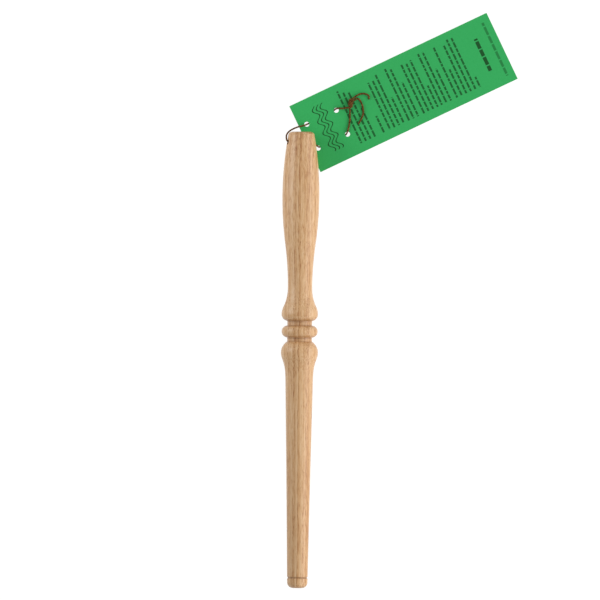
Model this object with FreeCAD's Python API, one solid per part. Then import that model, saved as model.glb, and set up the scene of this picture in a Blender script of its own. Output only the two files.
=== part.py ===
import FreeCAD, Part
import math
import os

Vector = FreeCAD.Vector

# Nostepinne: a wooden winding stick turned from one blank, with a card tag laced to its handle by a twine.
# It lies on a surface at z = 0, its axis along Y, the handle's butt end towards +Y and the tip towards -Y.
# The origin is on that surface, under the middle of the stick. All sizes are in millimetres.

# Turned stick: runs are lengths along the axis, from the butt end to the tip
stick_length = 280.0
stock_radius = 11.35          # the blank's own radius, left at the belly and at the lower bulb
butt_radius = 7.7             # where the handle's curve would meet the butt face
butt_round = 2.6
handle_run = 39.8             # butt face to the crest of the belly
taper_run = 56.2              # belly to the waist
taper_share = 0.52            # how much of the taper the belly's own arc takes
waist_radius = 7.47
flare_run = 16.0              # waist to the crest of the upper bulb
flare_share = 0.72            # how much of the flare the waist's arc takes
upper_bulb_radius = 11.17
upper_bulb_round = 4.17       # the quick arc that falls from the crest into the first groove
groove_radius = 7.6
first_groove_width = 2.8
second_groove_width = 2.4
bead_radius = 11.05
bead_round = 3.7
lower_bulb_round = 7.9        # the arc that climbs out of the second groove
neck_run = 15.1               # crest of the lower bulb to the start of the shaft
neck_share = 0.25             # how much of the neck the bulb's own arc takes
neck_radius = 8.5
shaft_hollow = 0.08           # how far the tapered shaft is hollow at its middle
tip_radius = 6.27
tip_round = 3.6
ring_from_tip = 6.4           # middle of the ring cut near the tip
ring_width = 1.2
ring_depth = 0.42

# Cross-hole for the twine, through the handle near the butt
hole_from_butt = 6.5
hole_bore = 3.2
hole_turn = 18.0              # degrees that the left mouth stands above the level of the axis

# Hang tag: one sheet of card with two pairs of punched holes
tag_length = 134.0
tag_width = 44.8
tag_thickness = 0.4
tag_turn = 25.9               # degrees from +X to the tag's long side, seen from above
tag_near_x = 2.13             # middle of the tag's near end
tag_near_from_butt = 4.55     # how far that middle lies back from the butt face
punch_bore = 3.1
punch_setback = 5.0           # near end of the tag to the first pair
punch_pitch = 20.0            # first pair to the second, along the tag
punch_spread = 16.2           # hole to hole across the tag
punch_offset = -0.3           # how far the pairs lie off the tag's middle line

# Twine
cord_diameter = 0.95
cord_clearance = 0.12         # under the tag, between it and the twine that it lies on
surface_clearance = 0.025     # under the twine, where it lies on the surface
turning_gap = 0.4             # between the loop and the lacing, where the tag turns on the loop

# Knot of both strands: three wraps side by side
knot_along = 9.58             # knot's middle, along the tag from the second pair of holes
knot_across = 7.52            # and across it, from the tag's middle line
knot_turn = 56.1              # degrees from the tag's long side to the knot's axis
knot_wraps = (1.15, 1.42, 1.30)   # radius of each wrap, from the laced side
knot_wrap_width = 1.95
knot_valley = 0.92            # radius between two wraps
knot_end_radius = 0.5         # flat middle of the knot's two ends
knot_clearance = 0.05

# Places worked out from the sizes
cord_radius = cord_diameter / 2
axis_height = stock_radius
butt_y = stick_length / 2
tip_y = butt_y - stick_length
hole_place = Vector(0, butt_y - hole_from_butt, axis_height)
hole_slope = math.radians(hole_turn)
hole_axis = Vector(math.cos(hole_slope), 0, -math.sin(hole_slope))


# Where the twine comes out of the cross-hole, measured from the stick's axis
handle_fall = stock_radius - butt_radius
handle_reach = (handle_run ** 2 + handle_fall ** 2) / (2 * handle_fall)
mouth_drop = handle_reach - math.sqrt(handle_reach ** 2 - (handle_run - hole_from_butt) ** 2)
mouth = stock_radius - mouth_drop


def station(place, radius):
    """A point of the outline: place is measured from the butt face along the axis."""
    return Vector(0, butt_y - place, axis_height + radius)


def bend(start, end, centre):
    """A round stretch under a half circle, from start to end about centre."""
    reach = (start - centre).Length
    middle = centre + ((start - centre) + (end - centre)).normalize() * reach
    return Part.Arc(start, middle, end).toBSpline().toShape()


def ogee(place, radius, end_place, end_radius, share):
    """Two tangent arcs that leave and arrive level with the axis; share is the first arc's part."""
    run = end_place - place
    fall = radius - end_radius
    reach = (run ** 2 + fall ** 2) / (2 * fall)
    turn = station(place + share * run, radius - share * fall)
    first = bend(station(place, radius), turn, station(place, radius - share * reach))
    second_centre = station(end_place, end_radius + (1 - share) * reach)
    second = bend(turn, station(end_place, end_radius), second_centre)
    return [first, second]


def half_width(round_radius, crest_radius, floor_radius):
    """How far along the axis an arc reaches, from its crest down to the floor beside it."""
    return math.sqrt(round_radius ** 2 - (floor_radius - crest_radius + round_radius) ** 2)


def handle_edges():
    """The butt face, its rounded edge and the long arc up to the belly."""
    centre = station(handle_run, stock_radius - handle_reach)
    across = handle_run - butt_round
    edge_radius = stock_radius - handle_reach + math.sqrt((handle_reach - butt_round) ** 2 - across ** 2)
    edge_centre = station(butt_round, edge_radius)
    face_rim = station(0, edge_radius)
    meeting = centre + (edge_centre - centre).normalize() * handle_reach
    return [
        Part.LineSegment(station(0, 0), face_rim).toShape(),
        bend(face_rim, meeting, edge_centre),
        bend(meeting, station(handle_run, stock_radius), centre),
    ]


def crest(place, crest_radius, round_radius, before, after):
    """The arcs of a turned bead on one or both sides of its crest, down to the groove floor."""
    reach = half_width(round_radius, crest_radius, groove_radius)
    centre = station(place, crest_radius - round_radius)
    top = station(place, crest_radius)
    edges = []
    if before:
        edges.append(bend(station(place - reach, groove_radius), top, centre))
    if after:
        edges.append(bend(top, station(place + reach, groove_radius), centre))
    return edges


def shaft_radius(place, neck_place, shoulder_place):
    """The shaft's taper, a little hollow at its middle."""
    along = (place - neck_place) / (shoulder_place - neck_place)
    return neck_radius + (tip_radius - neck_radius) * along - 4 * shaft_hollow * along * (1 - along)


def shaft_edges(neck_place):
    """The tapered shaft, the ring cut near its end and the rounded tip."""
    shoulder_place = stick_length - tip_round
    ring_place = stick_length - ring_from_tip
    ring_start = ring_place - ring_width / 2
    ring_end = ring_place + ring_width / 2
    middle = (neck_place + ring_start) / 2

    def surface(place):
        return station(place, shaft_radius(place, neck_place, shoulder_place))

    ring_floor = station(ring_place, shaft_radius(ring_place, neck_place, shoulder_place) - ring_depth)
    end_rim = station(stick_length, tip_radius - tip_round)
    round_centre = station(shoulder_place, tip_radius - tip_round)
    return [
        Part.Arc(surface(neck_place), surface(middle), surface(ring_start)).toBSpline().toShape(),
        Part.Arc(surface(ring_start), ring_floor, surface(ring_end)).toShape(),
        Part.LineSegment(surface(ring_end), surface(shoulder_place)).toShape(),
        bend(surface(shoulder_place), end_rim, round_centre),
        Part.LineSegment(end_rim, station(stick_length, 0)).toShape(),
    ]


def groove(start_place, end_place):
    """The flat floor of a groove."""
    return Part.LineSegment(station(start_place, groove_radius), station(end_place, groove_radius)).toShape()


def make_turned_stick():
    """One turned solid: handle, waist, upper bulb, groove, bead, groove, lower bulb, shaft and tip."""
    waist_place = handle_run + taper_run
    upper_bulb_place = waist_place + flare_run
    upper_bulb_end = upper_bulb_place + half_width(upper_bulb_round, upper_bulb_radius, groove_radius)
    bead_half = half_width(bead_round, bead_radius, groove_radius)
    bead_start = upper_bulb_end + first_groove_width
    bead_end = bead_start + 2 * bead_half
    lower_bulb_start = bead_end + second_groove_width
    lower_bulb_place = lower_bulb_start + half_width(lower_bulb_round, stock_radius, groove_radius)
    neck_place = lower_bulb_place + neck_run

    edges = handle_edges()
    edges += ogee(handle_run, stock_radius, waist_place, waist_radius, taper_share)
    edges += ogee(waist_place, waist_radius, upper_bulb_place, upper_bulb_radius, flare_share)
    edges += crest(upper_bulb_place, upper_bulb_radius, upper_bulb_round, False, True)
    edges.append(groove(upper_bulb_end, bead_start))
    edges += crest(bead_start + bead_half, bead_radius, bead_round, True, True)
    edges.append(groove(bead_end, lower_bulb_start))
    edges += crest(lower_bulb_place, stock_radius, lower_bulb_round, True, False)
    edges += ogee(lower_bulb_place, stock_radius, neck_place, neck_radius, neck_share)
    edges += shaft_edges(neck_place)
    edges.append(Part.LineSegment(station(stick_length, 0), station(0, 0)).toShape())
    outline = Part.Face(Part.Wire(edges))
    stick = outline.revolve(Vector(0, 0, axis_height), Vector(0, 1, 0), 360)

    drill_length = 4 * stock_radius
    drill_start = hole_place - hole_axis * (drill_length / 2)
    drill = Part.makeCylinder(hole_bore / 2, drill_length, drill_start, hole_axis)
    return Part.Solid(stick.cut(drill).Solids[0])


def tag_placement():
    """The tag's near end rests on the twine under it, and its far edge on the surface."""
    last_holes = punch_setback + punch_pitch
    lift = (cord_diameter + cord_clearance) / (1 - last_holes / tag_length)
    pitch = math.degrees(math.asin(lift / tag_length))
    turn = FreeCAD.Rotation(Vector(0, 0, 1), tag_turn)
    tilt = FreeCAD.Rotation(Vector(0, 1, 0), pitch)
    rotation = turn.multiply(tilt)
    near_end = Vector(tag_near_x, butt_y - tag_near_from_butt, lift)
    return FreeCAD.Placement(near_end, rotation)


def make_hang_tag():
    """A sheet of card, its near end at local x = 0 and its middle line on local y = 0."""
    card = Part.makeBox(tag_length, tag_width, tag_thickness, Vector(0, -tag_width / 2, 0))
    for along in (punch_setback, punch_setback + punch_pitch):
        for side in (-0.5, 0.5):
            centre = Vector(along, punch_offset + side * punch_spread, -tag_thickness)
            card = card.cut(Part.makeCylinder(punch_bore / 2, 3 * tag_thickness, centre))
    card.Placement = tag_placement()
    return Part.Solid(card.Solids[0])


def by_hole(out, along, up):
    """A place of the twine from the middle of the cross-hole: out towards the right mouth, along +Y, and up."""
    rise = Vector(math.sin(hole_slope), 0, math.cos(hole_slope))
    return hole_place + hole_axis * out + Vector(0, along, 0) + rise * up


def on_tag(start, along, across, rise):
    """A place of the twine over the tag, from a start on it; rise is the gap left under the twine."""
    height = tag_thickness + cord_radius + rise
    return tag_placement().multVec(Vector(start.x + along, start.y + across, height))


def under_tag(start, along, across):
    """A place of the twine on the surface under the tag."""
    place = tag_placement().multVec(Vector(start.x + along, start.y + across, 0))
    place.z = cord_radius + surface_clearance
    return place


def punched(pair, side):
    """Middle of a punched hole on the tag: the first or second pair, on the left (1) or right (-1)."""
    return Vector(punch_setback + pair * punch_pitch, punch_offset + side * punch_spread / 2, 0)


def lacing_route():
    """The twine's route, from the knot down through the tag, round through the handle and back."""
    knot = Vector(punch_setback + punch_pitch + knot_along, knot_across, 0)
    first = punched(1, 1)
    second = punched(0, 1)
    third = punched(0, -1)
    fourth = punched(1, -1)
    return [
        on_tag(knot, -1.45, -1.0, 0.9),
        on_tag(knot, -3.1, -1.0, 0.2),
        on_tag(first, 3.95, -0.75, 0.1),
        on_tag(first, 2.2, 0.45, 0.15),
        on_tag(first, 0.45, 0.85, 0.3),
        under_tag(first, -0.45, 0.8),
        under_tag(first, -3.5, 0.1),
        under_tag(first, -8.65, -0.45),
        under_tag(second, 6.9, 0.05),
        under_tag(second, 0.95, -0.1),
        on_tag(second, -2.3, 0.05, 0.9),
        on_tag(second, -5.6, 0.9, 2.3),
        by_hole(5.0 - mouth, 8.1, -5.9),
        by_hole(1.7 - mouth, 6.5, -4.55),
        by_hole(-mouth - 0.4, 4.5, -2.8),
        by_hole(-mouth - 1.0, 2.4, -1.1),
        by_hole(-mouth - 0.65, 0.2, 0),
        by_hole(-0.37 * mouth, -0.2, -0.35),
        by_hole(0.35 * mouth, 0.4, 0.2),
        by_hole(mouth + 0.6, -0.2, 0),
        by_hole(mouth + 1.2, -1.1, -1.9),
        by_hole(mouth + 2.9, -2.3, -4.1),
        under_tag(third, 0.6, 0.15),
        under_tag(third, 5.7, 0.95),
        under_tag(third, 11.05, -0.2),
        under_tag(fourth, -4.3, -0.45),
        under_tag(fourth, -1.05, 0.1),
        on_tag(fourth, -0.1, 0.7, 0.3),
        on_tag(fourth, 2.4, 3.3, 0.1),
        on_tag(knot, -4.0, -7.75, 0.1),
        on_tag(knot, -2.05, -3.35, 0.2),
        on_tag(knot, -0.55, -1.4, 0.75),
    ]


def tail_routes():
    """The two free ends, from inside the knot, round in a hook and in a bow over the tag."""
    knot = Vector(punch_setback + punch_pitch + knot_along, knot_across, 0)
    hook = [
        on_tag(knot, 1.2, 1.6, 1.35),
        on_tag(knot, 2.75, 2.4, 0.6),
        on_tag(knot, 5.7, 3.2, 0.1),
        on_tag(knot, 9.15, 3.0, 0.1),
        on_tag(knot, 11.85, 1.0, 0.1),
        on_tag(knot, 12.45, -1.05, 0.1),
        on_tag(knot, 11.1, -2.2, 0.1),
    ]
    bow = [
        on_tag(knot, 0.85, 0.3, 0.5),
        on_tag(knot, 3.0, 1.0, 0.2),
        on_tag(knot, 5.05, 1.6, 0.1),
        on_tag(knot, 6.0, 0.45, 0.1),
        on_tag(knot, 6.4, -2.2, 0.1),
        on_tag(knot, 5.95, -5.45, 0.1),
        on_tag(knot, 4.6, -8.7, 0.1),
        on_tag(knot, 2.2, -11.1, 0.1),
        on_tag(knot, -0.9, -13.15, 0.1),
    ]
    return hook, bow


def route_edges(points, name):
    """Straight runs joined by tangent arcs, each arc as large as its two runs allow."""
    edges = []
    radii = []
    leave = points[0]
    for before, corner, after in zip(points, points[1:], points[2:]):
        inward = before - corner
        outward = after - corner
        half_turn = (math.pi - inward.getAngle(outward)) / 2
        setback = 0.45 * min(inward.Length, outward.Length)
        radii.append(setback / math.tan(half_turn))
        start = corner + inward.normalize() * setback
        end = corner + outward.normalize() * setback
        middle_way = (inward + outward).normalize()
        depth = radii[-1] * (1 / math.cos(half_turn) - 1)
        edges.append(Part.LineSegment(leave, start).toShape())
        edges.append(Part.Arc(start, corner + middle_way * depth, end).toShape())
        leave = end
    edges.append(Part.LineSegment(leave, points[-1]).toShape())
    print(name, "radii:", ", ".join("%.1f" % radius for radius in radii))
    return edges


def length_through(edges, pair, side):
    """How far along the route it passes through a punched hole, half way into the card."""
    placement = tag_placement()
    middle = placement.multVec(punched(pair, side) + Vector(0, 0, tag_thickness / 2))
    normal = placement.Rotation.multVec(Vector(0, 0, 1))
    disc = Part.Face(Part.Wire(Part.makeCircle(punch_bore / 2, middle, normal)))
    passed = 0.0
    for edge in edges:
        gap, points, _ = edge.distToShape(disc)
        if gap < 1e-6:
            along = edge.Curve.parameter(points[0][0]) - edge.FirstParameter
            share = along / (edge.LastParameter - edge.FirstParameter)
            return passed + share * edge.Length
        passed += edge.Length
    raise RuntimeError("the twine misses a hole of the tag")


def stretch(edges, start, end):
    """The part of a route between two lengths along it."""
    kept = []
    passed = 0.0
    for edge in edges:
        first = max(start - passed, 0.0)
        last = min(end - passed, edge.Length)
        if last - first > 1e-6:
            span = edge.LastParameter - edge.FirstParameter
            low = edge.FirstParameter + span * first / edge.Length
            high = edge.FirstParameter + span * last / edge.Length
            kept.append(edge.Curve.toShape(low, high))
        passed += edge.Length
    return kept


def tube(edges, name):
    """The twine's round section along a stretch, with its volume compared with section times length."""
    path = Part.Wire(edges)
    first = edges[0]
    start = first.valueAt(first.FirstParameter)
    section = Part.Wire(Part.makeCircle(cord_radius, start, first.tangentAt(first.FirstParameter)))
    solid = path.makePipeShell([section], True, False)
    expected = math.pi * cord_radius ** 2 * path.Length
    print(name, "length %.1f, volume over section times length %.4f" % (path.Length, solid.Volume / expected))
    return solid


def domed(solid, place):
    """A rounded end, so that the twine can turn beside the stretch it goes on into."""
    return Part.Solid(solid.fuse(Part.makeSphere(cord_radius, place)).removeSplitter().Solids[0])


def make_cords():
    """The twine's stretches: the loop through the handle, and the lacing on both sides of it."""
    edges = route_edges(lacing_route(), "lacing route")
    whole = sum(edge.Length for edge in edges)
    crossings = [length_through(edges, 0, 1), length_through(edges, 0, -1)]
    inset = turning_gap / 2 + cord_radius
    first_turn, second_turn = crossings

    loop_path = stretch(edges, first_turn + inset, second_turn - inset)
    loop = tube(loop_path, "cord_loop")
    loop = domed(loop, loop_path[0].valueAt(loop_path[0].FirstParameter))
    loop = domed(loop, loop_path[-1].valueAt(loop_path[-1].LastParameter))

    first_path = stretch(edges, 0.0, first_turn - inset)
    first_lace = domed(tube(first_path, "first lace"), first_path[-1].valueAt(first_path[-1].LastParameter))
    second_path = stretch(edges, second_turn + inset, whole)
    second_lace = domed(tube(second_path, "second lace"), second_path[0].valueAt(second_path[0].FirstParameter))

    turn_points = []
    for length in crossings:
        spot = stretch(edges, length - 0.01, length)[-1]
        turn_points.append(spot.valueAt(spot.LastParameter))
    print("the tag turns about a line through", turn_points[0], "and", turn_points[1])
    return loop, Part.makeCompound([first_lace, second_lace])


def make_knot():
    """Three rounded wraps side by side, turned about the knot's own axis."""
    lift = tag_thickness + knot_clearance + max(knot_wraps)
    middle = Vector(punch_setback + punch_pitch + knot_along, knot_across, lift)
    place = -knot_wrap_width * len(knot_wraps) / 2
    first_end = Vector(0, place, 0)
    edges = [Part.LineSegment(first_end, Vector(knot_end_radius, place, 0)).toShape()]
    start = Vector(knot_end_radius, place, 0)
    for index, radius in enumerate(knot_wraps):
        crown = Vector(radius, place + knot_wrap_width / 2, 0)
        place += knot_wrap_width
        end_radius = knot_end_radius if index == len(knot_wraps) - 1 else knot_valley
        end = Vector(end_radius, place, 0)
        edges.append(Part.Arc(start, crown, end).toBSpline().toShape())
        start = end
    last_end = Vector(0, place, 0)
    edges.append(Part.LineSegment(end, last_end).toShape())
    edges.append(Part.LineSegment(last_end, first_end).toShape())
    knot = Part.Face(Part.Wire(edges)).revolve(Vector(0, 0, 0), Vector(0, 1, 0), 360)
    turn = FreeCAD.Rotation(Vector(0, 0, 1), knot_turn - 90)
    knot.Placement = tag_placement().multiply(FreeCAD.Placement(middle, turn))
    return Part.Solid(knot.Solids[0])


def make_tails():
    """The two free ends, which lie on the tag."""
    hook, bow = tail_routes()
    first = tube(route_edges(hook, "first tail"), "first tail")
    second = tube(route_edges(bow, "second tail"), "second tail")
    return Part.makeCompound([first, second])


def save(shape, node):
    """Write one sub-part and say what it holds."""
    if not shape.isValid():
        raise RuntimeError(node + " is not a valid shape")
    print("%s: %d solid(s), %.1f mm3" % (node, len(shape.Solids), shape.Volume))
    shape.exportStep("parts/" + node + ".step")


os.makedirs("parts", exist_ok=True)
save(make_turned_stick(), "turned_stick")
save(make_hang_tag(), "hang_tag")
cord_loop, cord_lacing = make_cords()
save(cord_loop, "cord_loop")
save(cord_lacing, "cord_lacing")
save(make_knot(), "cord_knot")
save(make_tails(), "cord_tails")
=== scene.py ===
import bpy
import math
import numpy as np
from mathutils import Euler, Matrix, Vector


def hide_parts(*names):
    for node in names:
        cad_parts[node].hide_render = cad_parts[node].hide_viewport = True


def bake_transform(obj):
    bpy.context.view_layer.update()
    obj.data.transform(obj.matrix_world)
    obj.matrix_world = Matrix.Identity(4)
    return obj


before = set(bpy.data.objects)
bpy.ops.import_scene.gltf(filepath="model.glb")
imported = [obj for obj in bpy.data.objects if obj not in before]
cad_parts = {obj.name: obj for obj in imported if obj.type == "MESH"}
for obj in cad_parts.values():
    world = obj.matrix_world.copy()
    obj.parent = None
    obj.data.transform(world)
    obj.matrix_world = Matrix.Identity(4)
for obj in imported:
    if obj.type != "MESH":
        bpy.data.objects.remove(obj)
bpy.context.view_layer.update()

bpy.ops.object.select_all(action="DESELECT")

# Sizes in metres, in the stick's frame: it lies on z = 0 along Y, the handle towards +Y
AXIS_HEIGHT = 0.01135
TAG_ORIGIN = Vector((0.00213, 0.13545, 0.001316))     # middle of the tag's near end, on its underside
TAG_TURN = math.radians(25.9)
TAG_PITCH = math.radians(0.5627)
TAG_FRAME = Matrix.Translation(TAG_ORIGIN) @ Euler((0, TAG_PITCH, TAG_TURN)).to_matrix().to_4x4()

# Camera: straight down over the stick, far off with a long lens, and turned by half a degree
VIEW_MIDDLE = Vector((0.00005, 0.03674, AXIS_HEIGHT))
VIEW_WIDTH = 0.36802
CAMERA_DISTANCE = 12.0
CAMERA_TURN = math.radians(0.5374)
SENSOR_WIDTH = 36             # in millimetres

# Twine: two plies laid together, in one length from the hooked tail to the bowed one
PLY_RADIUS = 0.000405
PLY_OFFSET = 0.000135
LAY_LENGTH = 0.0021           # one whole turn of the two plies about each other
RING_STEP = 0.00015
RING_POINTS = 16
END_SIZE = 0.62               # a cut end's thickness, as a share of the twine's
END_ROUNDING = 0.0004         # how far from a cut end the twine has its full thickness

# Twine: control points of its run through the handle and the tag, and of its two tails
LACING = [
    (0.02761, 0.15507, 0.00208), (0.02510, 0.15444, 0.00201), (0.02300, 0.15476, 0.00207),
    (0.02125, 0.15435, 0.00224), (0.02046, 0.15391, 0.00055), (0.01802, 0.15195, 0.00055),
    (0.01363, 0.14920, 0.00055), (0.00941, 0.14771, 0.00055), (0.00412, 0.14498, 0.00055),
    (0.00115, 0.14370, 0.00306), (-0.00218, 0.14303, 0.00450), (-0.00530, 0.14168, 0.00691),
    (-0.00786, 0.14005, 0.00922), (-0.00924, 0.13800, 0.01153), (-0.00932, 0.13590, 0.01333),
    (-0.00880, 0.13375, 0.01427), (-0.00321, 0.13330, 0.01202), (0.00299, 0.13390, 0.01059),
    (0.00880, 0.13330, 0.00850), (0.00840, 0.13210, 0.00560), (0.00940, 0.13160, 0.00340),
    (0.01150, 0.13030, 0.00055), (0.01501, 0.13342, 0.00055), (0.02032, 0.13472, 0.00055),
    (0.02462, 0.13653, 0.00055), (0.02730, 0.13844, 0.00055), (0.02790, 0.13940, 0.00225),
    (0.02901, 0.14283, 0.00202), (0.02975, 0.14860, 0.00199), (0.02958, 0.15341, 0.00207),
]
HOOK_TAIL = [
    (0.03139, 0.16068, 0.00242), (0.03369, 0.16269, 0.00189), (0.03688, 0.16402, 0.00186),
    (0.04018, 0.16340, 0.00183), (0.04162, 0.16182, 0.00183), (0.04090, 0.16019, 0.00184),
]
BOW_TAIL = [
    (0.03222, 0.15953, 0.00202), (0.03380, 0.16097, 0.00190), (0.03516, 0.16035, 0.00189),
    (0.03668, 0.15814, 0.00189), (0.03769, 0.15502, 0.00189), (0.03790, 0.15151, 0.00191),
    (0.03679, 0.14830, 0.00193), (0.03489, 0.14510, 0.00196),
]

# Knot: both strands go up the middle, wrap back down side by side, and go up the middle again
KNOT_MIDDLE = Vector((0.03458, 0.00752, 0.00202))     # in the tag's own frame
KNOT_TURN = math.radians(56.1)
WRAP_REACH = 1.08             # from the knot's middle line, in millimetres
WRAP_PITCH = 1.95             # from one turn of a strand to its next, in millimetres
WRAP_STEP = 30                # degrees from point to point

# Knot: the strands are pressed thin in its middle, fully up to the first of each pair of distances
# and not at all beyond the second, in millimetres
PRESS_ACROSS = (0.45, 0.9)    # from the knot's middle line
PRESS_ALONG = (1.7, 2.6)      # from its middle, along that line
PRESS = 0.40                  # the share of their thickness that is lost

# Wood: growth layers that stand out, as place across the shaft's top and half width, in millimetres,
# and how much darker they are
GROWTH_LAYERS = (
    (-4.7, 0.8, -0.08), (-3.1, 0.6, 0.10), (-1.9, 0.5, -0.10), (-0.6, 0.7, 0.12), (1.1, 0.8, -0.12),
    (4.2, 0.5, 0.10),
)
HEART = 156.5                 # how far the tree's heart was to the left of the axis, in millimetres
HEART_DEPTH = 14              # and below it
SURFACE_EXCESS = 3.9          # how much further the shaft's top is, with the wander and the fibres
FIBRE_RAGGING = 1.8           # how far the fibres push a layer's edge to and fro, at most

# Wood: burnished lines and painted shade, as middle along the stick and half width, in millimetres, and
# strength.
# The lines at the grooves' upper corners (23.35, 13.15) are painted shade from the bead above. The wide
# bands over the groove floors (22.4, 12.4) are burnish and painted shade together. The rest are burnished
# lines
BURNISH_AND_SHADE_LINES = (
    (23.35, 0.34, 0.6), (21.2, 0.28, 0.4), (22.4, 1.0, 0.22), (13.15, 0.34, 0.55), (11.5, 0.28, 0.4),
    (12.4, 0.9, 0.22), (-133.65, 0.5, 0.5),
)

# Print on the card, in millimetres from its near end and its middle line. Each block has the place of
# its first line, its number of lines and the reach of the last one
PRINT_BLOCKS = (
    (30.4, 4, 6.0), (45.7, 1, -4.0), (49.9, 4, 2.0), (62.8, 3, 9.0), (73.0, 4, -3.0), (85.1, 3, 5.0),
    (95.5, 2, 4.0), (101.7, 4, -10.0),
)
LINE_PITCH = 3.08
LINE_HEIGHT = 1.25
LINE_START = -17.0
LINE_END = 18.4               # the furthest that a line reaches
LINE_RAGGING = 4.0            # how far short of that it may stop
FULL_LINE = 17.7              # a full line's reach, which a last line's own takes the place of
WORDS_PER_MM = 0.27
WORD_GAP = 0.07               # half the gap between two words, as a share of a word's length
LINE_SEED = 7.37              # these two give every line its own words and its own end
BLOCK_SEED = 3.1
INK_STRENGTH = 0.95

# Bars across the card's far end: middle, height, reach to each side and strength of the ink
END_BARS = ((121.0, 2.3, 10.8, 1.0), (129.1, 1.6, 17.9, 0.6))
END_WORDS_PER_MM = 0.2

# Wavy lines across the card's head
WAVE_MIDDLES = (13.0, 15.6, 18.2)
WAVE_LENGTH = 7.6
WAVE_HEIGHT = 1.5             # from the middle to a crest
WAVE_HALF_WIDTH = 0.38
WAVE_CENTRE = 0.6             # the place across the card of their middle
WAVE_REACH = 15.2             # to each side of it

# A face of the card is one whose normal is more upright than this, and the rest of it is cut edge
CARD_FACE = 0.7


def place_in_scene(name, data):
    """A new object with this data."""
    placed = bpy.data.objects.new(name, data)
    bpy.context.scene.collection.objects.link(placed)
    return placed


camera = place_in_scene("camera", bpy.data.cameras.new("camera"))
camera.data.sensor_width = SENSOR_WIDTH
camera.data.lens = SENSOR_WIDTH * CAMERA_DISTANCE / VIEW_WIDTH
camera.location = VIEW_MIDDLE + Vector((0, 0, CAMERA_DISTANCE))
camera.rotation_euler = (0, 0, CAMERA_TURN)
bpy.context.scene.camera = camera

# Shape of the twine
knot_frame = TAG_FRAME @ Matrix.Translation(KNOT_MIDDLE) @ Matrix.Rotation(KNOT_TURN, 4, "Z")


def in_knot(along, turn, reach):
    """A place in the knot, in millimetres and degrees: 0 is on top, 90 right, 180 on the card and 270
    left."""
    angle = math.radians(turn)
    side = Vector((along, -reach * math.sin(angle), reach * math.cos(angle))) / 1000
    return knot_frame @ side


def wraps(start, first_turn, last_turn):
    """The turns of one strand round the middle."""
    count = round((last_turn - first_turn) / WRAP_STEP)
    turns = [first_turn + (last_turn - first_turn) * step / count for step in range(count + 1)]
    return [in_knot(start - WRAP_PITCH * (turn - first_turn) / 360, turn, WRAP_REACH) for turn in turns]


first_strand = [
    in_knot(-2.45, 285, 1.20), in_knot(-2.30, 340, 1.08), in_knot(-2.10, 30, 0.98),
    in_knot(-1.75, 72, 0.62), in_knot(-1.10, 75, 0.40), in_knot(0.40, 70, 0.40),
    in_knot(1.70, 50, 0.42), in_knot(2.50, 0, 0.42), in_knot(2.75, 320, 0.62),
    in_knot(2.62, 285, 0.95),
    *wraps(2.40, 276, 894),
    in_knot(-1.02, 925, 0.82), in_knot(-0.70, 950, 0.45), in_knot(0.60, 950, 0.42),
    in_knot(2.00, 930, 0.42), in_knot(2.75, 180, 0.46),
]
second_strand = [
    in_knot(-3.10, 180, 0.45), in_knot(-2.40, 230, 0.25), in_knot(-1.50, 285, 0.38),
    in_knot(0.20, 285, 0.40), in_knot(1.25, 285, 0.42), in_knot(1.68, 275, 0.72),
    in_knot(1.60, 268, 1.00),
    *wraps(1.43, 280, 895),
    in_knot(-2.02, 920, 0.85), in_knot(-1.75, 880, 0.50), in_knot(-0.60, 870, 0.42),
    in_knot(1.40, 860, 0.42), in_knot(2.25, 120, 0.62), in_knot(2.42, 112, 1.25),
]
twine_points = [*reversed(HOOK_TAIL), *reversed(first_strand), *LACING, *second_strand, *BOW_TAIL]


def smooth_line(points):
    """The line of a cord: a NURBS spline with these control points, read back as close points."""
    curve = bpy.data.curves.new("route", "CURVE")
    curve.dimensions = "3D"
    curve.resolution_u = 24
    spline = curve.splines.new("NURBS")
    spline.points.add(len(points) - 1)
    for point, place in zip(spline.points, points):
        point.co = (*place, 1)
    spline.order_u = 3
    spline.use_endpoint_u = True
    holder = place_in_scene("route", curve)
    bpy.context.view_layer.update()
    mesh = bpy.data.meshes.new_from_object(holder)
    line = np.array([vertex.co for vertex in mesh.vertices])
    bpy.data.meshes.remove(mesh)
    bpy.data.objects.remove(holder)
    bpy.data.curves.remove(curve)
    return line


def even_steps(line, step):
    """Points at even lengths along a line, and those lengths."""
    passed = np.concatenate([[0], np.cumsum(np.linalg.norm(np.diff(line, axis=0), axis=1))])
    lengths = np.linspace(0, passed[-1], round(passed[-1] / step) + 1)
    places = np.stack([np.interp(lengths, passed, line[:, axis]) for axis in range(3)], axis=1)
    return places, lengths


def carried_sides(places):
    """Two directions across the line at each point, which turn no more than the line itself does."""
    heading = np.gradient(places, axis=0)
    heading /= np.linalg.norm(heading, axis=1)[:, None]
    side = np.cross(heading[0], (0, 0, 1))
    sides = []
    for ahead in heading:
        side = side - ahead * side.dot(ahead)
        side = side / np.linalg.norm(side)
        sides.append(side)
    sides = np.array(sides)
    return sides, np.cross(heading, sides)


def fade(value, low, high):
    """0 up to low, 1 from high on, and smooth between."""
    share = np.clip((value - low) / (high - low), 0, 1)
    return share * share * (3 - 2 * share)


def thickness(places, lengths):
    """The twine's thickness at each point, as a share of its own: less in the knot, where the strands
    are pressed, and at the cut ends, which are a little rounded."""
    in_millimetres = (np.array(knot_frame.inverted())[:3] @ np.c_[places, np.ones(len(places))].T).T * 1000
    reach = np.hypot(in_millimetres[:, 1], in_millimetres[:, 2])
    pressed = (1 - fade(reach, *PRESS_ACROSS)) * (1 - fade(np.abs(in_millimetres[:, 0]), *PRESS_ALONG))
    from_end = np.minimum(lengths, lengths[-1] - lengths)
    return (1 - PRESS * pressed) * (END_SIZE + (1 - END_SIZE) * fade(from_end, 0, END_ROUNDING))


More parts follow.
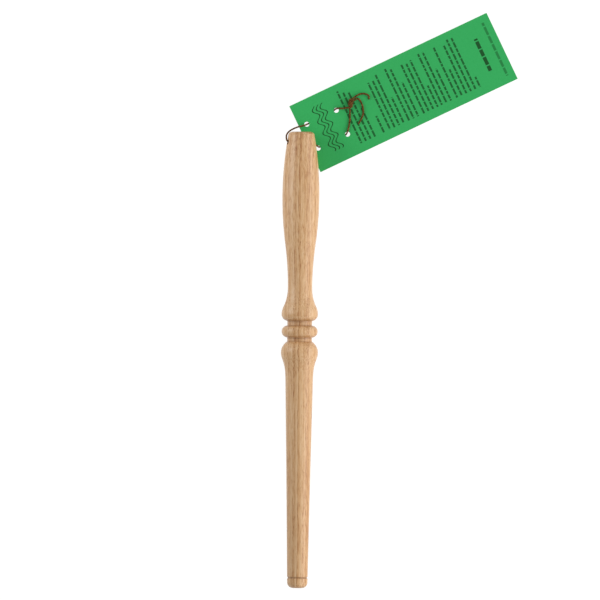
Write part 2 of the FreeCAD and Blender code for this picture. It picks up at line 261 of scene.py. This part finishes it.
def make_twine():
    """The laid twine as one tube with a two-lobed section that turns along it, and its middle line."""
    places, lengths = even_steps(smooth_line(twine_points), RING_STEP)
    sides, ups = carried_sides(places)
    around = np.arange(RING_POINTS) / RING_POINTS * 2 * math.pi
    lobe = PLY_OFFSET * np.abs(np.cos(around))
    lobe = lobe + np.sqrt(PLY_RADIUS ** 2 - (PLY_OFFSET * np.sin(around)) ** 2)
    vertices, uvs = [], []
    for place, side, up, length, size in zip(places, sides, ups, lengths, thickness(places, lengths)):
        turned = around - 2 * math.pi * length / LAY_LENGTH
        outward = np.cos(turned)[:, None] * side + np.sin(turned)[:, None] * up
        vertices.extend(place + size * lobe[:, None] * outward)
        uvs.extend((angle / (2 * math.pi), length * 1000) for angle in turned)
    faces = []
    for ring in range(len(places) - 1):
        low = ring * RING_POINTS
        high = low + RING_POINTS
        for point in range(RING_POINTS):
            after = (point + 1) % RING_POINTS
            faces.append((low + point, low + after, high + after, high + point))
    last = (len(places) - 1) * RING_POINTS
    for ring_start, middle in ((0, places[0]), (last, places[-1])):
        tip = len(vertices)
        vertices.append(middle)
        uvs.append(uvs[ring_start])
        for point in range(RING_POINTS):
            after = (point + 1) % RING_POINTS
            rim = (ring_start + point, ring_start + after)
            faces.append((tip, rim[1], rim[0]) if ring_start == 0 else (tip, rim[0], rim[1]))
    mesh = bpy.data.meshes.new("twine")
    mesh.from_pydata([tuple(vertex) for vertex in vertices], [], faces)
    layer = mesh.uv_layers.new(name="along_twine")
    for loop in mesh.loops:
        layer.data[loop.index].uv = uvs[loop.vertex_index]
    mesh.polygons.foreach_set("use_smooth", [True] * len(mesh.polygons))
    mesh.update()
    return place_in_scene("twine", mesh), places


twine, twine_line = make_twine()
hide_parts("cord_loop", "cord_lacing", "cord_knot", "cord_tails")


# Materials
def paint(code):
    """An sRGB hex colour as the linear colour that the shaders work in."""
    shares = [int(code[place:place + 2], 16) / 255 for place in (1, 3, 5)]
    return [s / 12.92 if s <= 0.04045 else ((s + 0.055) / 1.055) ** 2.4 for s in shares] + [1.0]


def add(tree, kind, settings):
    """Adds a node; a setting is a link, a socket's value or one of the node's own settings. A number
    names a socket by its place: a Mix node of colours has its share at 0, its colours at 6 and 7 and
    its result at 2."""
    node = tree.nodes.new(kind)
    for key, value in settings.items():
        if not isinstance(key, int) and key not in node.inputs:
            setattr(node, key, value)
        elif isinstance(value, bpy.types.NodeSocket):
            tree.links.new(value, node.inputs[key])
        else:
            node.inputs[key].default_value = value
    return node


def new_material(name):
    """A material with its surface shader and nothing linked to it."""
    material = bpy.data.materials.new(name)
    material.use_nodes = True
    return material, material.node_tree, material.node_tree.nodes["Principled BSDF"]


def soft_stripe(tree, value, middle, half_width, height):
    """A stripe where the value is near its middle: of full height within 0.4 of its half width, and
    gone beyond 1.6 of it."""
    away = add(tree, "ShaderNodeMath", {"operation": "SUBTRACT", 0: value, 1: middle}).outputs[0]
    away = add(tree, "ShaderNodeMath", {"operation": "ABSOLUTE", 0: away}).outputs[0]
    return add(tree, "ShaderNodeMapRange", {
        "interpolation_type": "SMOOTHSTEP", "Value": away, "From Min": half_width * 1.6,
        "From Max": half_width * 0.4, "To Max": height}).outputs[0]


def turned_hardwood():
    """Pale, close-grained hardwood, turned on a lathe and fine-sanded: straight growth layers show as
    uneven stripes along the stick, with short darker pores, and the tool left a burnished brown line in
    each groove; painted shade darkens the grooves' upper corners and floors. It is nearly matt, with a soft
    sheen."""
    material, tree, surface = new_material("turned_hardwood_sanded")
    coords = add(tree, "ShaderNodeTexCoord", {})
    # millimetres, with the stick's axis on x = z = 0
    place = add(tree, "ShaderNodeMapping", {
        "Vector": coords.outputs["Object"], "Scale": (1000, 1000, 1000),
        "Location": (0, 0, -AXIS_HEIGHT * 1000)}).outputs[0]

    # growth layers about 1 mm thick, nearly upright, since the tree's heart was far to the left, and
    # wandering by up to 1.8 mm
    wander = add(tree, "ShaderNodeMapping", {"Vector": place, "Scale": (0.04, 0.012, 0.04)}).outputs[0]
    wander = add(tree, "ShaderNodeTexNoise", {
        "Vector": wander, "Scale": 1.0, "Detail": 2.0}).outputs["Color"]
    from_heart = add(tree, "ShaderNodeVectorMath", {
        "operation": "MULTIPLY_ADD", 0: wander, 1: (1.8, 0, 1.8), 2: place}).outputs[0]
    from_heart = add(tree, "ShaderNodeVectorMath", {
        "operation": "MULTIPLY_ADD", 0: from_heart, 1: (1, 0, 1), 2: (HEART, 0, HEART_DEPTH)}).outputs[0]
    from_heart = add(tree, "ShaderNodeVectorMath", {
        "operation": "LENGTH", 0: from_heart}).outputs["Value"]
    layer = add(tree, "ShaderNodeTexNoise", {
        "noise_dimensions": "1D", "W": from_heart, "Scale": 1.2, "Detail": 2.0,
        "Roughness": 0.5}).outputs["Fac"]

    # fibres 0.5 mm wide and 8 mm long, streaks 0.8 mm wide and 20 mm long, and slow changes of tone
    fibre = add(tree, "ShaderNodeMapping", {"Vector": place, "Scale": (2.2, 0.13, 2.2)}).outputs[0]
    fibre = add(tree, "ShaderNodeTexNoise", {
        "Vector": fibre, "Scale": 1.0, "Detail": 3.0, "Roughness": 0.65,
        "Distortion": 0.1}).outputs["Fac"]
    streak = add(tree, "ShaderNodeMapping", {"Vector": place, "Scale": (1.3, 0.05, 1.3)}).outputs[0]
    streak = add(tree, "ShaderNodeTexNoise", {
        "Vector": streak, "Scale": 1.0, "Detail": 2.0}).outputs["Fac"]
    slow = add(tree, "ShaderNodeMapping", {"Vector": place, "Scale": (0.1, 0.011, 0.1)}).outputs[0]
    slow = add(tree, "ShaderNodeTexNoise", {"Vector": slow, "Scale": 1.0, "Detail": 1.0}).outputs["Fac"]

    # pores: about 0.1 mm wide in the wood, drawn 0.3 mm wide and 3 mm long so that they show
    pore = add(tree, "ShaderNodeMapping", {"Vector": place, "Scale": (2.6, 0.3, 2.6)}).outputs[0]
    pore = add(tree, "ShaderNodeTexNoise", {
        "Vector": pore, "Scale": 1.0, "Detail": 2.0, "Roughness": 0.6, "Distortion": 0.3}).outputs["Fac"]
    pore = add(tree, "ShaderNodeMapRange", {
        "interpolation_type": "SMOOTHSTEP", "Value": pore, "From Min": 0.56,
        "From Max": 0.7}).outputs[0]

    # all of them together, each with its weight, and brought to the middle of the colours below
    tone = -1.28
    for pattern, weight in ((layer, 1.0), (fibre, 1.5), (streak, 0.5), (slow, 0.5), (pore, 0.3)):
        tone = add(tree, "ShaderNodeMath", {
            "operation": "MULTIPLY_ADD", 0: pattern, 1: weight, 2: tone}).outputs[0]
    # the growth layers that stand out have edges ragged with fibres
    ragged = add(tree, "ShaderNodeMath", {
        "operation": "MULTIPLY_ADD", 0: fibre, 1: FIBRE_RAGGING, 2: from_heart}).outputs[0]
    for middle, half_width, darker in GROWTH_LAYERS:
        band = soft_stripe(tree, ragged, HEART + SURFACE_EXCESS + middle, half_width, darker)
        tone = add(tree, "ShaderNodeMath", {"operation": "ADD", 0: tone, 1: band}).outputs[0]
    body = add(tree, "ShaderNodeValToRGB", {"Fac": tone})
    ramp = body.color_ramp
    ramp.elements[0].position, ramp.elements[0].color = 0.15, paint("#E5C094")
    ramp.elements[1].position, ramp.elements[1].color = 1.0, paint("#9E612D")
    ramp.elements.new(0.55).color = paint("#D2A472")

    # end grain soaks up more of the finish and is darker
    facing = add(tree, "ShaderNodeSeparateXYZ", {0: coords.outputs["Normal"]}).outputs[1]
    facing = add(tree, "ShaderNodeMath", {"operation": "ABSOLUTE", 0: facing}).outputs[0]
    end_grain = add(tree, "ShaderNodeMapRange", {
        "interpolation_type": "SMOOTHSTEP", "Value": facing, "From Min": 0.6, "From Max": 1.0,
        "To Max": 0.35}).outputs[0]
    body = add(tree, "ShaderNodeMix", {
        "data_type": "RGBA", 0: end_grain, 6: body.outputs["Color"], 7: paint("#8F5F35")}).outputs[2]

    # burnished lines where the tool's corner cut: the corners of the grooves, and the ring near the
    # tip, a little uneven with the fibres; the same brown also paints shade into the grooves' upper
    # corners, under the bead above, and over their floors
    along = add(tree, "ShaderNodeSeparateXYZ", {0: place}).outputs[1]
    burnt_and_shaded = None
    for middle, half_width, strength in BURNISH_AND_SHADE_LINES:
        line = soft_stripe(tree, along, middle, half_width, strength)
        burnt_and_shaded = line if burnt_and_shaded is None else add(tree, "ShaderNodeMath", {
            "operation": "MAXIMUM", 0: burnt_and_shaded, 1: line}).outputs[0]
    uneven = add(tree, "ShaderNodeMath", {
        "operation": "MULTIPLY_ADD", 0: fibre, 1: 1.2, 2: 0.4}).outputs[0]
    burnt_and_shaded = add(tree, "ShaderNodeMath", {
        "operation": "MULTIPLY", 0: burnt_and_shaded, 1: uneven, "use_clamp": True}).outputs[0]
    # the burnt brown mixed in here is burnish and, in the grooves, painted shade
    colour = add(tree, "ShaderNodeMix", {
        "data_type": "RGBA", 0: burnt_and_shaded, 6: body, 7: paint("#7C4C22")}).outputs[2]
    tree.links.new(colour, surface.inputs["Base Color"])

    # sanded wood: the fibres stand up by less than 0.1 mm, and the pores lie below them
    rough = add(tree, "ShaderNodeMapRange", {"Value": fibre, "To Min": 0.30, "To Max": 0.40}).outputs[0]
    tree.links.new(rough, surface.inputs["Roughness"])
    height = add(tree, "ShaderNodeMath", {
        "operation": "MULTIPLY_ADD", 0: pore, 1: -1.0, 2: fibre}).outputs[0]
    bump = add(tree, "ShaderNodeBump", {"Height": height, "Strength": 0.4, "Distance": 0.00008})
    tree.links.new(bump.outputs[0], surface.inputs["Normal"])
    surface.inputs["Specular IOR Level"].default_value = 0.5
    return material


def small_print(tree, along, across, card):
    """The ink of the blocks of small print: every line is a row of plain bars as long as words, and
    the lines' ends are ragged."""
    ink = None
    row = None
    for first, lines, last_reach in PRINT_BLOCKS:
        down = add(tree, "ShaderNodeMath", {
            "operation": "SUBTRACT", 0: along, 1: first - LINE_PITCH / 2}).outputs[0]
        count = add(tree, "ShaderNodeMath", {"operation": "DIVIDE", 0: down, 1: LINE_PITCH}).outputs[0]
        number = add(tree, "ShaderNodeMath", {"operation": "FLOOR", 0: count}).outputs[0]
        phase = add(tree, "ShaderNodeMath", {"operation": "SUBTRACT", 0: count, 1: number}).outputs[0]
        on_line = add(tree, "ShaderNodeMath", {
            "operation": "COMPARE", 0: phase, 1: 0.5, 2: LINE_HEIGHT / 2 / LINE_PITCH}).outputs[0]
        inside = add(tree, "ShaderNodeMath", {
            "operation": "COMPARE", 0: count, 1: lines / 2, 2: lines / 2}).outputs[0]
        own_row = add(tree, "ShaderNodeMath", {
            "operation": "MULTIPLY_ADD", 0: number, 1: LINE_SEED, 2: first * BLOCK_SEED}).outputs[0]
        own_row = add(tree, "ShaderNodeMath", {
            "operation": "MULTIPLY", 0: own_row, 1: inside}).outputs[0]
        line_end = add(tree, "ShaderNodeTexWhiteNoise", {
            "noise_dimensions": "1D", "W": own_row}).outputs["Value"]
        line_end = add(tree, "ShaderNodeMath", {
            "operation": "MULTIPLY_ADD", 0: line_end, 1: -LINE_RAGGING, 2: LINE_END}).outputs[0]
        is_last = add(tree, "ShaderNodeMath", {
            "operation": "COMPARE", 0: number, 1: lines - 1, 2: 0.1}).outputs[0]
        line_end = add(tree, "ShaderNodeMath", {
            "operation": "MULTIPLY_ADD", 0: is_last, 1: last_reach - FULL_LINE, 2: line_end}).outputs[0]
        before_end = add(tree, "ShaderNodeMath", {
            "operation": "LESS_THAN", 0: across, 1: line_end}).outputs[0]
        mask = add(tree, "ShaderNodeMath", {"operation": "MULTIPLY", 0: on_line, 1: inside}).outputs[0]
        mask = add(tree, "ShaderNodeMath", {"operation": "MULTIPLY", 0: mask, 1: before_end}).outputs[0]
        ink = mask if ink is None else add(tree, "ShaderNodeMath", {
            "operation": "MAXIMUM", 0: ink, 1: mask}).outputs[0]
        row = own_row if row is None else add(tree, "ShaderNodeMath", {
            "operation": "ADD", 0: row, 1: own_row}).outputs[0]
    after_start = add(tree, "ShaderNodeMath", {
        "operation": "GREATER_THAN", 0: across, 1: LINE_START}).outputs[0]
    ink = add(tree, "ShaderNodeMath", {"operation": "MULTIPLY", 0: ink, 1: after_start}).outputs[0]
    word = add(tree, "ShaderNodeMath", {
        "operation": "MULTIPLY_ADD", 0: across, 1: WORDS_PER_MM, 2: row}).outputs[0]
    word = add(tree, "ShaderNodeTexVoronoi", {
        "voronoi_dimensions": "1D", "feature": "DISTANCE_TO_EDGE", "W": word, "Scale": 1.0,
        "Randomness": 0.95}).outputs["Distance"]
    word = add(tree, "ShaderNodeMath", {"operation": "GREATER_THAN", 0: word, 1: WORD_GAP}).outputs[0]
    ink = add(tree, "ShaderNodeMath", {"operation": "MULTIPLY", 0: ink, 1: word}).outputs[0]
    # the ink is a little thin in places, as print on rough card is
    thin = add(tree, "ShaderNodeTexNoise", {"Vector": card, "Scale": 3.0, "Detail": 2.0}).outputs["Fac"]
    thin = add(tree, "ShaderNodeMapRange", {
        "Value": thin, "From Min": 0.3, "From Max": 0.6, "To Min": 0.7, "To Max": 1.0}).outputs[0]
    return add(tree, "ShaderNodeMath", {"operation": "MULTIPLY", 0: ink, 1: thin}).outputs[0]


def end_bars(tree, along, across, ink):
    """That ink, with plain bars across the card's far end: a bold one and a lighter one, with gaps."""
    for middle, height, reach, strength in END_BARS:
        bar = add(tree, "ShaderNodeMath", {
            "operation": "COMPARE", 0: along, 1: middle, 2: height / 2}).outputs[0]
        wide = add(tree, "ShaderNodeMath", {"operation": "COMPARE", 0: across, 1: 0.0, 2: reach}).outputs[0]
        bar = add(tree, "ShaderNodeMath", {"operation": "MULTIPLY", 0: bar, 1: wide}).outputs[0]
        gaps = add(tree, "ShaderNodeTexVoronoi", {
            "voronoi_dimensions": "1D", "feature": "DISTANCE_TO_EDGE", "W": across,
            "Scale": END_WORDS_PER_MM, "Randomness": 0.7}).outputs["Distance"]
        gaps = add(tree, "ShaderNodeMath", {"operation": "GREATER_THAN", 0: gaps, 1: WORD_GAP}).outputs[0]
        bar = add(tree, "ShaderNodeMath", {"operation": "MULTIPLY", 0: bar, 1: gaps}).outputs[0]
        bar = add(tree, "ShaderNodeMath", {"operation": "MULTIPLY", 0: bar, 1: strength}).outputs[0]
        ink = add(tree, "ShaderNodeMath", {"operation": "MAXIMUM", 0: ink, 1: bar}).outputs[0]
    return ink


def wavy_lines(tree, along, across):
    """The ink of three wavy lines side by side across the head of the card, as yarn lies."""
    wave = add(tree, "ShaderNodeMath", {
        "operation": "MULTIPLY", 0: across, 1: 2 * math.pi / WAVE_LENGTH}).outputs[0]
    wave = add(tree, "ShaderNodeMath", {"operation": "SINE", 0: wave}).outputs[0]
    wave = add(tree, "ShaderNodeMath", {
        "operation": "MULTIPLY_ADD", 0: wave, 1: -WAVE_HEIGHT, 2: along}).outputs[0]
    strands = None
    for middle in WAVE_MIDDLES:
        strand = add(tree, "ShaderNodeMath", {
            "operation": "COMPARE", 0: wave, 1: middle, 2: WAVE_HALF_WIDTH}).outputs[0]
        strands = strand if strands is None else add(tree, "ShaderNodeMath", {
            "operation": "MAXIMUM", 0: strands, 1: strand}).outputs[0]
    wide = add(tree, "ShaderNodeMath", {
        "operation": "COMPARE", 0: across, 1: WAVE_CENTRE, 2: WAVE_REACH}).outputs[0]
    return add(tree, "ShaderNodeMath", {"operation": "MULTIPLY", 0: strands, 1: wide}).outputs[0]


def dyed_card():
    """Uncoated card dyed green all through, cut and punched with a die: flat and even, with a faint
    fibre mottle, paler rough edges, and small dark print on its face."""
    material, tree, surface = new_material("dyed_card_printed")
    coords = add(tree, "ShaderNodeTexCoord", {})
    # millimetres on the card: x from its near end, y from its middle line
    card = add(tree, "ShaderNodeMapping", {
        "vector_type": "TEXTURE", "Vector": coords.outputs["Object"], "Location": TAG_ORIGIN,
        "Rotation": (0, TAG_PITCH, TAG_TURN), "Scale": (0.001, 0.001, 0.001)}).outputs[0]
    split = add(tree, "ShaderNodeSeparateXYZ", {0: card})
    along, across = split.outputs[0], split.outputs[1]

    ink = end_bars(tree, along, across, small_print(tree, along, across, card))
    ink = add(tree, "ShaderNodeMath", {
        "operation": "MAXIMUM", 0: ink, 1: wavy_lines(tree, along, across)}).outputs[0]

    # a faint mottle of about 1 mm on both faces, paler cut edges, and print on the upper face alone
    mottle = add(tree, "ShaderNodeTexNoise", {
        "Vector": card, "Scale": 0.9, "Detail": 5.0, "Roughness": 0.65}).outputs["Fac"]
    face = add(tree, "ShaderNodeMix", {
        "data_type": "RGBA", 0: mottle, 6: paint("#30AE5A"), 7: paint("#3BBA66")}).outputs[2]
    normal = add(tree, "ShaderNodeSeparateXYZ", {0: coords.outputs["Normal"]}).outputs[2]
    top = add(tree, "ShaderNodeMath", {"operation": "GREATER_THAN", 0: normal, 1: CARD_FACE}).outputs[0]
    flat = add(tree, "ShaderNodeMath", {"operation": "ABSOLUTE", 0: normal}).outputs[0]
    flat = add(tree, "ShaderNodeMath", {"operation": "GREATER_THAN", 0: flat, 1: CARD_FACE}).outputs[0]
    bare = add(tree, "ShaderNodeMix", {
        "data_type": "RGBA", 0: flat, 6: paint("#5DBE7F"), 7: face}).outputs[2]
    ink = add(tree, "ShaderNodeMath", {"operation": "MULTIPLY", 0: ink, 1: top}).outputs[0]
    ink = add(tree, "ShaderNodeMath", {"operation": "MULTIPLY", 0: ink, 1: INK_STRENGTH}).outputs[0]
    printed = add(tree, "ShaderNodeMix", {
        "data_type": "RGBA", 0: ink, 6: bare, 7: paint("#0A4216")}).outputs[2]
    tree.links.new(printed, surface.inputs["Base Color"])
    surface.inputs["Roughness"].default_value = 0.7
    surface.inputs["Specular IOR Level"].default_value = 0.25
    return material


def laid_twine():
    """Two-ply cotton twine, dyed dark brown and lightly waxed: dull, with fine fibres along it and
    painted shade in the crevices between the plies."""
    material, tree, surface = new_material("laid_cotton_twine")
    lay = add(tree, "ShaderNodeUVMap", {"uv_map": "along_twine"}).outputs[0]
    # as turns round the twine, and millimetres along it
    split = add(tree, "ShaderNodeSeparateXYZ", {0: lay})
    along = split.outputs[1]
    turn = add(tree, "ShaderNodeMath", {
        "operation": "MULTIPLY", 0: split.outputs[0], 1: 2 * math.pi}).outputs[0]
    # fibres run along the twine: 20 of them round its section, which is taken as a circle, and 0.6 mm
    # long, coarser than cotton's own so that they show; and the tone changes every 2 mm or so
    ring = add(tree, "ShaderNodeCombineXYZ", {
        0: add(tree, "ShaderNodeMath", {"operation": "COSINE", 0: turn}).outputs[0],
        1: add(tree, "ShaderNodeMath", {"operation": "SINE", 0: turn}).outputs[0],
        2: add(tree, "ShaderNodeMath", {"operation": "MULTIPLY", 0: along, 1: 0.5}).outputs[0],
    }).outputs[0]
    fibre = add(tree, "ShaderNodeTexNoise", {
        "Vector": ring, "Scale": 3.2, "Detail": 4.0, "Roughness": 0.7}).outputs["Fac"]
    slow = add(tree, "ShaderNodeTexNoise", {
        "noise_dimensions": "1D", "W": along, "Scale": 0.5, "Detail": 2.0}).outputs["Fac"]
    tone = add(tree, "ShaderNodeMath", {"operation": "ADD", 0: fibre, 1: slow}).outputs[0]
    tone = add(tree, "ShaderNodeMath", {"operation": "MULTIPLY", 0: tone, 1: 0.5}).outputs[0]
    body = add(tree, "ShaderNodeValToRGB", {"Fac": tone})
    ramp = body.color_ramp
    ramp.elements[0].position, ramp.elements[0].color = 0.32, paint("#4A2C11")
    ramp.elements[1].position, ramp.elements[1].color = 0.66, paint("#98693A")
    # painted shade in the crevices between the plies, which turn with the plies, two to a turn of the lay
    painted_ply_shade = add(tree, "ShaderNodeMath", {"operation": "MULTIPLY", 0: turn, 1: 2.0}).outputs[0]
    painted_ply_shade = add(tree, "ShaderNodeMath", {
        "operation": "MULTIPLY_ADD", 0: along, 1: 4 * math.pi / (LAY_LENGTH * 1000),
        2: painted_ply_shade}).outputs[0]
    painted_ply_shade = add(tree, "ShaderNodeMath", {"operation": "COSINE", 0: painted_ply_shade}).outputs[0]
    painted_ply_shade = add(tree, "ShaderNodeMapRange", {
        "interpolation_type": "SMOOTHSTEP", "Value": painted_ply_shade, "From Min": 0.1, "From Max": -0.9,
        "To Max": 0.8}).outputs[0]
    colour = add(tree, "ShaderNodeMix", {
        "data_type": "RGBA", 0: painted_ply_shade, 6: body.outputs["Color"], 7: paint("#261304")}).outputs[2]
    # the hooked tail's cut end is dark
    cut_end = add(tree, "ShaderNodeMapRange", {
        "interpolation_type": "SMOOTHSTEP", "Value": along, "From Min": 1.1, "From Max": 0.4,
        "To Max": 0.75}).outputs[0]
    colour = add(tree, "ShaderNodeMix", {
        "data_type": "RGBA", 0: cut_end, 6: colour, 7: paint("#261304")}).outputs[2]
    tree.links.new(colour, surface.inputs["Base Color"])
    bump = add(tree, "ShaderNodeBump", {"Height": fibre, "Strength": 0.5, "Distance": 0.00008})
    tree.links.new(bump.outputs[0], surface.inputs["Normal"])
    surface.inputs["Roughness"].default_value = 0.85
    surface.inputs["Specular IOR Level"].default_value = 0.08
    return material


def finish_with(piece, material):
    """The piece is this material all over."""
    piece.data.materials.clear()
    piece.data.materials.append(material)


finish_with(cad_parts["turned_stick"], turned_hardwood())
finish_with(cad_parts["hang_tag"], dyed_card())
finish_with(twine, laid_twine())


# Floor, light and background
def seeing_rays(tree):
    """1 for the rays that show the backdrop: the camera's own, and those that a surface mirrors or lets
    through."""
    rays = add(tree, "ShaderNodeLightPath", {}).outputs
    seen = add(tree, "ShaderNodeMath", {
        "operation": "MAXIMUM", 0: rays["Is Camera Ray"], 1: rays["Is Glossy Ray"]}).outputs[0]
    return add(tree, "ShaderNodeMath", {
        "operation": "MAXIMUM", 0: seen, 1: rays["Is Transmission Ray"]}).outputs[0]


def white_sweep():
    """White paper: it throws white light back on the object, and the camera sees it as just white, with
    a faint shadow."""
    material, tree, surface = new_material("white_paper_sweep")
    seen = seeing_rays(tree)
    colour = add(tree, "ShaderNodeMix", {
        "data_type": "RGBA", 0: seen, 6: paint("#E8E8E8"), 7: paint("#707070")}).outputs[2]
    # its own light, for the camera only, is just short of white, and the lamps add the rest
    glow = add(tree, "ShaderNodeMath", {"operation": "MULTIPLY", 0: seen, 1: 0.94}).outputs[0]
    tree.links.new(colour, surface.inputs["Base Color"])
    tree.links.new(glow, surface.inputs["Emission Strength"])
    surface.inputs["Emission Color"].default_value = (1, 1, 1, 1)
    surface.inputs["Roughness"].default_value = 0.9
    surface.inputs["Specular IOR Level"].default_value = 0.0
    return material


bpy.ops.mesh.primitive_plane_add(size=6, location=(0, 0, 0))
floor = bpy.context.object
floor.name = "floor"
finish_with(floor, white_sweep())


def softbox(name, place, aim, width, height, power):
    """A soft lamp at a place, turned to face a point."""
    lamp = place_in_scene(name, bpy.data.lights.new(name, "AREA"))
    lamp.data.shape = "RECTANGLE"
    lamp.data.size = width
    lamp.data.size_y = height
    lamp.data.energy = power
    lamp.location = place
    lamp.rotation_euler = (Vector(aim) - Vector(place)).to_track_quat("-Z", "Y").to_euler()


softbox("key_light", place=(0.85, -0.20, 0.36), aim=(0.0, -0.20, 0.01), width=2.0, height=0.75, power=11.8)
softbox("fill_light", place=(-0.40, 0.20, 0.20), aim=(0.0, 0.13, 0.01), width=0.30, height=0.30, power=0.95)

# a faint white sky for the object, and plain white for the camera
world = bpy.data.worlds.new("studio")
bpy.context.scene.world = world
world.use_nodes = True
sky = world.node_tree
background = sky.nodes["Background"]
background.inputs["Color"].default_value = (1, 1, 1, 1)
brightness = add(sky, "ShaderNodeMapRange", {
    "Value": seeing_rays(sky), "To Min": 0.34, "To Max": 1.0}).outputs[0]
sky.links.new(brightness, background.inputs["Strength"])
bpy.context.scene.view_settings.view_transform = "Standard"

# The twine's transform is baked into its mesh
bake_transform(twine)
